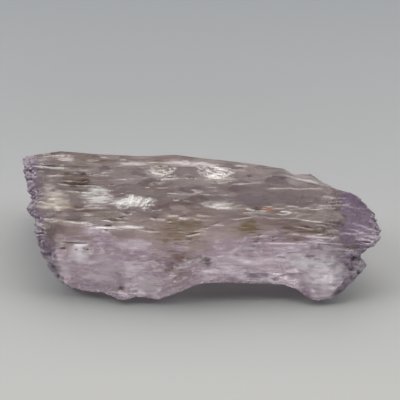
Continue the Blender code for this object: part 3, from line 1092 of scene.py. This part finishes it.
@dataclass(frozen=True)
class EtchedSpodumene:
    """Clear spodumene as it grew: glassy prism faces, and end faces that acid water has etched.

    It gives the eye a see-through, slightly smoky body, lilac where it is thick and violet at its
    ends, with fine lines along it and a matt, sugary crust at both ends.

    Attributes:
        body: The clear body's colour.
        smoky: Its colour where it is smoky.
        smoke: The values of the clouds between which it turns from clear to smoky.
        panes: The patches that flat inner cracks set off from each other.
        pane: Their darkest tone.
        pane_strength: How far the darkest one takes that tone, from 0 to 1.
        ior: The index of refraction of spodumene.
        clearness: How much light goes through the cloudiest and the clearest pane.
        roughness: The roughness where it is clear and where it is smoky.
        bump_m: The height of the finest lines and pits, in m.
        bump_strength: How strong they are on smooth faces, and on lined and etched ones.
        absorption: The lilac that thick crystal turns the light.
        absorption_per_m: How strongly it does.
        patterns: The noises that break up the coats. Real growth lines and etch pits go down to a
            few hundredths of a millimetre. These are as coarse as it takes to show in the render.
        coats: The coats, in the order in which they are laid.
    """

    body: str = "#F4EAE3"
    smoky: str = "#D6C5BC"
    smoke: Pair = (0.35, 0.65)
    panes: Pattern = Pattern("panes", (4.2, 1.3), 0.0)
    pane: str = "#B09E93"
    pane_strength: float = 0.55
    ior: float = 1.66
    clearness: Pair = (0.76, 0.96)
    roughness: Pair = (0.05, 0.24)
    bump_m: float = 0.0001
    bump_strength: Pair = (0.08, 0.4)
    absorption: str = "#C4AFCB"
    absorption_per_m: float = 12.0
    patterns: tuple[Pattern, ...] = (
        Pattern("lines", (5.0, 0.16), 3.0), Pattern("bands", (7.0, 0.5), 4.0),
        Pattern("flecks", (1.3, 0.2), 2.0), Pattern("clouds", (6.0, 1.6), 4.0),
        Pattern("mottle", (1.7, 0.7), 4.0), Pattern("pits", (0.3, 0.3), 2.0),
        Pattern("threads", (2.2, 0.18), 4.0), Pattern("plumes", (2.6, 0.17), 2.0, 50.0),
    )
    coats: tuple[Coat, ...] = (
        # Painted light: a pale, nearly opaque coat on the faces seen from behind or below, standing in for
        # light that passes through the crystal.
        Coat("under", "mottle", MOST, (0.7, 1.3), "#EFE3EE", 0.18, 0.5),
        Coat("lilac", "threads", MOST, (0.65, 1.35), "#E2CFE0", 0.75, 0.18),
        Coat("violet", "threads", MOST, (0.7, 1.3), "#B39DB9", 0.72, 0.25),
        Coat("olive", "threads", MOST, (0.5, 1.5), "#837050", 0.6, 0.25),
        Coat("brown", "threads", MOST, (0.5, 1.5), "#705442", 0.6, 0.25),
        Coat("rust", "threads", MOST, (0.2, 1.8), "#B5703C", 0.5, 0.3),
        Coat("cream", "mottle", MOST, (0.6, 1.4), "#F7EADC", 0.35, 0.3),
        # Painted glow: a near-white, nearly opaque coat standing in for light that shines through the
        # crystal.
        Coat("glow", "mottle", MOST, (0.7, 1.3), "#FFF6FD", 0.1, 0.3),
        # Frost and glint: white crack veils, partly painted highlights.
        Coat("frost", "threads", MOST, (0.45, 1.55), "#FBF9F8", 0.2, 0.35),
        # Plume: the feathers' white splinters, partly painted glints.
        Coat("plume", "plumes", MOST, (0.2, 1.8), "#FFFDFB", 0.1, 0.35),
        Coat("etched", "threads", MOST, (0.8, 1.2), "#AE9CAF", 0.5, 0.45),
        # Painted shade in the slits and in the dark dashes.
        Coat("dark", "threads", MOST, (0.75, 1.25), "#3A302B", 0.2, 0.4),
        Coat("lined", "bands", (0.55, 0.7), (0.0, 0.5), "#E6DCDC", 0.45),
        Coat("lined", "lines", (0.42, 0.3), (0.0, 0.5), "#6E5E5C", 0.45),
        Coat("lined", "threads", (0.6, 0.7), (0.0, 0.5), "#F4ECEA", 0.45),
        Coat("lined", "threads", (0.42, 0.34), (0.0, 0.4), "#66524C", 0.45),
        Coat("lined", "flecks", (0.64, 0.72), (0.0, 0.7), "#FFFFFF", 0.45),
        Coat("lined", "flecks", (0.34, 0.28), (0.0, 0.6), "#4A3E3C", 0.45),
        # More of that painted light on the faces seen from behind or below, broken into darker bands and
        # paler threads.
        Coat("under", "bands", (0.52, 0.62), (0.0, 0.5), "#A08BA0", 0.45),
        Coat("under", "threads", (0.6, 0.7), (0.0, 0.5), "#FAF4FA", 0.45),
        Coat("lilac", "clouds", (0.5, 0.62), (0.0, 0.4), "#A38D9F", 0.45),
        Coat("lilac", "clouds", (0.46, 0.36), (0.0, 0.5), "#F8EEF8", 0.45),
        Coat("lilac", "mottle", (0.54, 0.66), (0.0, 0.55), "#8A7482", 0.45),
        Coat("lilac", "mottle", (0.45, 0.34), (0.0, 0.7), "#FBF3FA", 0.45),
        Coat("lilac", "bands", (0.54, 0.64), (0.0, 0.5), "#8C7686", 0.45),
        Coat("lilac", "threads", (0.58, 0.68), (0.0, 0.6), "#FCF6FC", 0.45),
        # The etched crust is darker in the gaps between its grains: painted shade, with dirt that settles
        # there.
        Coat("etched", "grain", (0.44, 0.78), (0.95, 0.0), "#3E3040"),
    )

    def material(self) -> bpy.types.Material:
        """Builds the finish: the clear body, the coats over it, its fine relief and its depth."""
        material, tree, place = new_material("etched_spodumene")
        masks = {name: add_node(tree, "ShaderNodeAttribute", {}, attribute_name=name).outputs["Fac"]
                 for name in dict.fromkeys(("grain", *(coat.mask for coat in self.coats)))}
        noise = {"grain": masks["grain"]}
        for pattern in self.patterns:
            noise[pattern.name] = add_node(tree, "ShaderNodeTexNoise", {
                "Vector": pattern.cells(tree, place), "Scale": 1.0, "Detail": pattern.detail}).outputs["Fac"]
        look = self.clear_body(tree, place, noise["clouds"])
        for coat in self.coats:
            amount = add_node(tree, "ShaderNodeMapRange", {
                "Value": noise[coat.pattern], 1: coat.levels[0], 2: coat.levels[1],
                3: coat.amounts[0], 4: coat.amounts[1]})
            share = add_node(tree, "ShaderNodeMath", {0: masks[coat.mask], 1: amount.outputs[0]},
                             operation="MULTIPLY", use_clamp=True).outputs[0]
            look["Base Color"] = add_node(tree, "ShaderNodeMix", {
                0: share, 6: look["Base Color"], 7: linear(coat.colour)}, data_type="RGBA").outputs[2]
            for name, value in (("Roughness", coat.roughness), ("Transmission Weight", coat.clearness)):
                if value is not None:
                    look[name] = add_node(tree, "ShaderNodeMix", {
                        0: share, 2: look[name], 3: value}).outputs[0]
        relief = add_node(tree, "ShaderNodeMix", {0: masks["etched"], 2: noise["lines"], 3: noise["pits"]})
        uneven = add_node(tree, "ShaderNodeMath", {
            0: masks["etched"], 1: masks["lined"]}, operation="MAXIMUM")
        strength = add_node(tree, "ShaderNodeMapRange", {
            "Value": uneven.outputs[0], 3: self.bump_strength[0], 4: self.bump_strength[1]})
        bump = add_node(tree, "ShaderNodeBump", {
            "Strength": strength.outputs[0], "Distance": self.bump_m, "Height": relief.outputs[0]})
        fill(tree, tree.nodes["Principled BSDF"], look | {"Normal": bump.outputs[0], "IOR": self.ior})
        volume = add_node(tree, "ShaderNodeVolumeAbsorption", {
            "Color": linear(self.absorption), "Density": self.absorption_per_m})
        fill(tree, tree.nodes["Material Output"], {"Volume": volume.outputs[0]})
        return material

    def clear_body(self, tree: Tree, place: Socket, clouds: Socket) -> dict[str, Socket]:
        """Colours the clear body by smoky clouds, and by panes that each have their own tone.

        Args:
            tree: The material's node tree.
            place: The Object coordinates.
            clouds: The clouds' noise.

        Returns:
            What feeds each of the shader's sockets.
        """
        panes = add_node(tree, "ShaderNodeTexVoronoi", {
            "Vector": self.panes.cells(tree, place), "Scale": 1.0})
        tones = add_node(tree, "ShaderNodeSeparateColor", {"Color": panes.outputs["Color"]}).outputs
        smoke = {"Value": clouds, 1: self.smoke[0], 2: self.smoke[1]}
        share = add_node(tree, "ShaderNodeMapRange", smoke).outputs[0]
        colour = add_node(tree, "ShaderNodeMix", {
            0: share, 6: linear(self.body), 7: linear(self.smoky)}, data_type="RGBA").outputs[2]
        tone = add_node(tree, "ShaderNodeMath", {0: tones[0], 1: self.pane_strength}, operation="MULTIPLY")
        colour = add_node(tree, "ShaderNodeMix", {
            0: tone.outputs[0], 6: colour, 7: linear(self.pane)}, data_type="RGBA").outputs[2]
        rough = add_node(tree, "ShaderNodeMapRange", smoke | {3: self.roughness[0], 4: self.roughness[1]})
        clear = add_node(tree, "ShaderNodeMapRange", {
            "Value": tones[1], 3: self.clearness[0], 4: self.clearness[1]})
        return {"Base Color": colour, "Roughness": rough.outputs[0], "Transmission Weight": clear.outputs[0]}


@dataclass
class Crystal:
    """The crystal itself.

    Attributes:
        form: Its shape.
        finish: Its surface.
        crease_degrees: Edges sharper than this stay sharp.
    """

    form: CrystalForm
    finish: EtchedSpodumene = EtchedSpodumene()
    crease_degrees: float = 28.0

    def build(self) -> bpy.types.Object:
        """Makes the crystal's mesh in place of the frame's node.

        Returns:
            The crystal.
        """
        points, masks = self.form.grid()
        low, high = (np.array(corner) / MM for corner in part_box(NODE))
        own_low, own_high = points.min(axis=(0, 1)), points.max(axis=(0, 1))
        self.form.shift = (low + high - own_low - own_high) / 2
        self.form.shift[2] = low[2] - own_low[2]
        mesh = closed_skin("crystal", (points + self.form.shift) * MM, masks)
        mesh.polygons.foreach_set("use_smooth", np.ones(len(mesh.polygons), bool))
        mesh.set_sharp_from_angle(angle=math.radians(self.crease_degrees))
        crystal = add_piece(mesh, self.finish.material())
        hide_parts(NODE)
        return crystal


class Shade(Enum):
    """The look of a cluster of fracture flakes."""

    WHITE = "#F4F0EC"
    CREAM = "#F0DCC0"
    LILAC = "#EBDDF2"
    RUST = "#9A5B2E"
    DARK = "#4A4038"


@dataclass(frozen=True)
class Cluster(Patch):
    """Bright flakes on a crack inside the crystal.

    Attributes:
        count: How many flakes there are.
        flake: A flake's length.
        tilt: How far the flakes tilt out of the face, in degrees.
        depth: How deep under the surface they lie, from and to.
        slim: Their width's share of the usual one.
    """

    count: int
    flake: float
    tilt: float
    depth: Pair = (0.35, 1.2)
    slim: float = 1.0


# The cracks by look: x, place, half run, half width, count, flake, tilt, depth, slim.
CLUSTERS = {
    Shade.WHITE: (
        (-18.4, 2.62, 2.2, 1.8, 150, 0.5, 30), (-11.3, 2.61, 3.6, 1.3, 330, 0.5, 45),
        (4.0, 2.58, 1.9, 0.9, 90, 0.5, 20), (15.7, 2.50, 1.0, 0.3, 40, 0.4, 30),
        (-11.6, 2.31, 2.0, 0.5, 60, 0.45, 30), (4.8, 2.93, 1.7, 1.0, 130, 0.45, 45),
        (-7.8, 2.93, 1.6, 0.8, 70, 0.3, 45), (-8.0, 2.5, 18.0, 6.0, 200, 1.4, 14, (0.6, 4.0), 0.3),
        (16.0, 2.4, 10.0, 4.5, 120, 1.6, 10, (0.6, 3.0), 0.25),
    ),
    Shade.CREAM: (
        (-25.9, 2.54, 0.8, 0.7, 45, 0.35, 40), (-24.0, 2.54, 0.6, 0.6, 25, 0.35, 40),
    ),
    Shade.LILAC: (
        (-21.2, 1.95, 0.9, 0.9, 60, 0.4, 40), (18.5, 1.58, 1.4, 0.6, 60, 0.4, 40),
        (22.0, 1.40, 1.8, 2.3, 220, 0.45, 40), (24.6, 1.44, 0.5, 0.7, 25, 0.4, 40),
    ),
    Shade.RUST: (
        (11.0, 2.55, 1.5, 0.35, 40, 0.5, 20, (0.3, 0.7)),
    ),
    Shade.DARK: (
        (10.5, 2.53, 1.3, 0.12, 30, 0.5, 10, (0.3, 0.4)),
        (-27.3, 2.99, 2.0, 0.15, 30, 0.5, 10, (0.3, 0.5)),
        (-21.6, 2.34, 1.7, 0.35, 12, 0.4, 15, (0.3, 0.5)),
        (-22.1, 2.02, 3.0, 0.2, 14, 0.5, 10, (0.3, 0.5)),
        (10.9, 2.16, 0.6, 0.6, 18, 0.3, 50, (0.3, 0.8)),
        (10.2, 2.03, 0.6, 0.4, 16, 0.3, 50, (0.3, 0.8)),
        (13.4, 2.12, 0.5, 0.5, 14, 0.3, 50, (0.3, 0.8)),
    ),
}


@dataclass(frozen=True)
class FlakeFinish:
    """The face of a hair-thin air gap in a crack of the crystal.

    It mirrors light like a dull metal, so it gives the eye a bright, silky glint under the surface.

    Attributes:
        shade: Its colour, which stain changes.
        roughness: The roughness of the torn face.
        mirror: How much of the light it mirrors.
        cloud_mm: The size of its paler and darker patches.
        shadow: The share of its colour that the darkest patches keep.
    """

    shade: Shade
    roughness: float = 0.3
    mirror: float = 0.8
    cloud_mm: float = 2 / 3
    shadow: float = 0.7

    def material(self) -> bpy.types.Material:
        """Builds the finish."""
        material, tree, place = new_material(f"crack_{self.shade.name.lower()}")
        cloud = add_node(tree, "ShaderNodeTexNoise", {
            "Vector": place, "Scale": 1 / (self.cloud_mm * MM), "Detail": 2.0})
        bright = linear(self.shade.value)
        dark = (*(part * self.shadow for part in bright[:3]), 1.0)
        mixed = add_node(tree, "ShaderNodeMix", {0: cloud.outputs[0], 6: dark, 7: bright}, data_type="RGBA")
        fill(tree, tree.nodes["Principled BSDF"], {
            "Base Color": mixed.outputs[2], "Roughness": self.roughness, "Metallic": self.mirror})
        return material


@dataclass
class CrackFlakes:
    """All the flakes on the crystal's inner cracks.

    Attributes:
        form: The crystal's shape, which they lie in.
        seed: Chooses the scatter.
        half_thickness: Half a flake's thickness, which is more than a real gap's.
    """

    form: CrystalForm
    seed: int = 5
    half_thickness: float = 0.02

    def frames(self, cluster: Cluster, draw: np.random.Generator) -> tuple[Array, Array]:
        """Places and turns the flakes of one cluster.

        Args:
            cluster: The cluster.
            draw: The random numbers.

        Returns:
            The flakes' middles in mm, and for each its three half axes as rows.
        """
        n = cluster.count
        angle = draw.uniform(0, math.tau, n)
        radius = np.sqrt(draw.uniform(0, 1, n))
        x = cluster.x + cluster.half_run * radius * np.cos(angle)
        distance = self.form.distance(cluster.place) + cluster.half_width * radius * np.sin(angle)
        place = self.form.place_at(distance)[None]
        near, surface, far = (self.form.section(place + step, x[None])[0] for step in (-0.01, 0, 0.01))
        normal = np.cross((1.0, 0, 0), far - near)
        normal /= np.linalg.norm(normal, axis=-1, keepdims=True)
        depth = draw.uniform(*cluster.depth, n)
        middle = surface - normal * depth[:, None]
        lean = np.radians(cluster.tilt) * draw.normal(0, 0.6, (n, 3))
        normal = normal + np.cross(lean, normal)
        normal /= np.linalg.norm(normal, axis=-1, keepdims=True)
        long = np.array([1.0, 0, 0]) + draw.normal(0, 0.15, (n, 3))
        long -= normal * (long * normal).sum(axis=-1, keepdims=True)
        long /= np.linalg.norm(long, axis=-1, keepdims=True)
        size = cluster.flake / 2 * draw.uniform(0.4, 1.4, (n, 1))
        wide = np.cross(normal, long) * size * draw.uniform(0.25, 0.6, (n, 1)) * cluster.slim
        return middle, np.stack([long * size, wide, normal * self.half_thickness], axis=1)

    def build(self, shade: Shade) -> bpy.types.Object:
        """Makes the flakes of one look: flat eight-sided splinters, all in one mesh.

        Args:
            shade: The look.

        Returns:
            The piece.
        """
        draw = np.random.default_rng(self.seed)
        parts = [self.frames(Cluster(*row), draw) for row in CLUSTERS[shade]]
        middle = np.concatenate([part[0] for part in parts])[:, None] + self.form.shift
        axes = np.concatenate([part[1] for part in parts])
        corners = np.concatenate([middle + axes, middle - axes], axis=1) * MM
        pattern = np.array(list(itertools.product((0, 3), (1, 4), (2, 5))))
        # Each far corner turns a face's order round, so an odd number of them has it put right.
        turned = (pattern > 2).sum(axis=1) % 2 == 1
        pattern[turned] = pattern[turned][:, ::-1]
        faces = (np.arange(len(middle))[:, None, None] * 6 + pattern[None]).reshape(-1, 3)
        mesh = bpy.data.meshes.new(f"crack_flakes_{shade.name.lower()}")
        mesh.from_pydata(corners.reshape(-1, 3).tolist(), [], faces.tolist())
        return add_piece(mesh, FlakeFinish(shade).material())


@dataclass(frozen=True)
class StudioPaper:
    """Seamless grey background paper, dyed in the pulp and uncoated.

    It gives the eye a plain, soft ground without a horizon. Its colour is painted darker away from the
    camera, as a painted fall-off of the light.

    Attributes:
        near: Its colour on the camera's side.
        far: Its colour on the far side, darker as painted shade.
        fade_m: Where along y the one turns into the other.
        roughness: The roughness of its fibres.
        gloss: Its specular level.
    """

    near: str = "#B9B9B8"
    far: str = "#8F9296"
    fade_m: Pair = (-0.05, 0.07)
    roughness: float = 0.9
    gloss: float = 0.2

    def material(self) -> bpy.types.Material:
        """Builds the finish."""
        material, tree, place = new_material("studio_paper")
        parts = add_node(tree, "ShaderNodeSeparateXYZ", {0: place})
        share = add_node(tree, "ShaderNodeMapRange", {
            "Value": parts.outputs["Y"], 1: self.fade_m[0], 2: self.fade_m[1]})
        # Painted shade: the colour darkens from near to far, standing in for the light's fall-off.
        mixed = add_node(tree, "ShaderNodeMix", {
            0: share.outputs[0], 6: linear(self.near), 7: linear(self.far)}, data_type="RGBA")
        fill(tree, tree.nodes["Principled BSDF"], {
            "Base Color": mixed.outputs[2], "Roughness": self.roughness, "Specular IOR Level": self.gloss})
        return material


@dataclass(frozen=True)
class Softbox:
    """A rectangular soft light: its name, its place and size in m, its power and its colour."""

    name: str
    place: Triple
    size: Pair
    watts: float
    colour: str = "#FFFFFF"


# A wide one above and behind, and weak ones at both sides and in front.
SOFTBOXES = (
    Softbox("softbox_back", (0.0, 0.66, 0.72), (1.1, 0.9), 11.8, "#FFFDF8"),
    Softbox("softbox_left", (-0.6, 0.22, 0.42), (0.4, 0.4), 3.1),
    Softbox("softbox_right", (0.66, 0.2, 0.42), (0.4, 0.4), 2.5),
    Softbox("softbox_front", (0.1, -0.5, 0.12), (0.4, 0.16), 0.7),
)


@dataclass
class Studio:
    """The floor, the lights and the camera.

    Attributes:
        target: What the camera and the lights look at, in mm.
        elevation: The camera's height above the horizon, in degrees.
        distance: Its distance from the target, in mm.
        lens: Its focal length in mm.
        sensor: Its sensor's width in mm.
        clip_m: The nearest that it sees, in m.
        floor_half: Half the floor's width in m.
        floor_gap: How far the floor lies below the crystal, in m.
        room: The colour of the room's own even light.
        room_strength: How strong that is.
    """

    target: Triple = (0.0, 5.5, 6.7)
    elevation: float = 48.0
    distance: float = 300.0
    lens: float = 145.95
    sensor: float = 36.0
    clip_m: float = 0.01
    floor_half: float = 1.5
    floor_gap: float = 2e-5
    room: str = "#B9BCBE"
    room_strength: float = 0.08

    def floor(self) -> None:
        """Lays the paper just under the crystal."""
        signs = ((-1, -1), (1, -1), (1, 1), (-1, 1))
        corners = [(a * self.floor_half, b * self.floor_half, -self.floor_gap) for a, b in signs]
        mesh = bpy.data.meshes.new("floor")
        mesh.from_pydata(corners, [], [(0, 1, 2, 3)])
        mesh.materials.append(StudioPaper().material())
        put("floor", mesh)

    def lights(self) -> None:
        """Hangs the softboxes, all turned to the crystal, and fills the room with even light."""
        for softbox in SOFTBOXES:
            data = bpy.data.lights.new(softbox.name, "AREA")
            data.shape = "RECTANGLE"
            data.size, data.size_y = softbox.size
            data.energy = softbox.watts
            data.color = linear(softbox.colour)[:3]
            lamp = put(softbox.name, data)
            lamp.location = softbox.place
            aim = Vector(self.target) * MM - Vector(softbox.place)
            lamp.rotation_euler = aim.to_track_quat("-Z", "Y").to_euler()
        world = bpy.data.worlds.new("room")
        world.use_nodes = True
        fill(world.node_tree, world.node_tree.nodes["Background"], {
            "Color": linear(self.room), "Strength": self.room_strength})
        bpy.context.scene.world = world
        bpy.context.scene.view_settings.view_transform = "Standard"

    def camera(self) -> None:
        """Puts the camera in front of the crystal, looking down at it."""
        data = bpy.data.cameras.new("camera")
        data.lens = self.lens
        data.sensor_width = self.sensor
        data.clip_start = self.clip_m
        camera = put("camera", data)
        angle = math.radians(self.elevation)
        away = Vector((0, -math.cos(angle), math.sin(angle)))
        camera.location = (Vector(self.target) + away * self.distance) * MM
        camera.rotation_euler = (-away).to_track_quat("-Z", "Y").to_euler()
        bpy.context.scene.camera = camera


def main() -> None:
    """Builds the studio and the crystal around the frame."""
    logging.basicConfig(level=logging.INFO, format="%(name)s %(message)s")
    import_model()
    studio = Studio()
    studio.floor()
    studio.lights()
    studio.camera()
    form = CrystalForm()
    Crystal(form).build()
    flakes = CrackFlakes(form)
    for shade in Shade:
        flakes.build(shade)


if __name__ == "__main__":
    main()
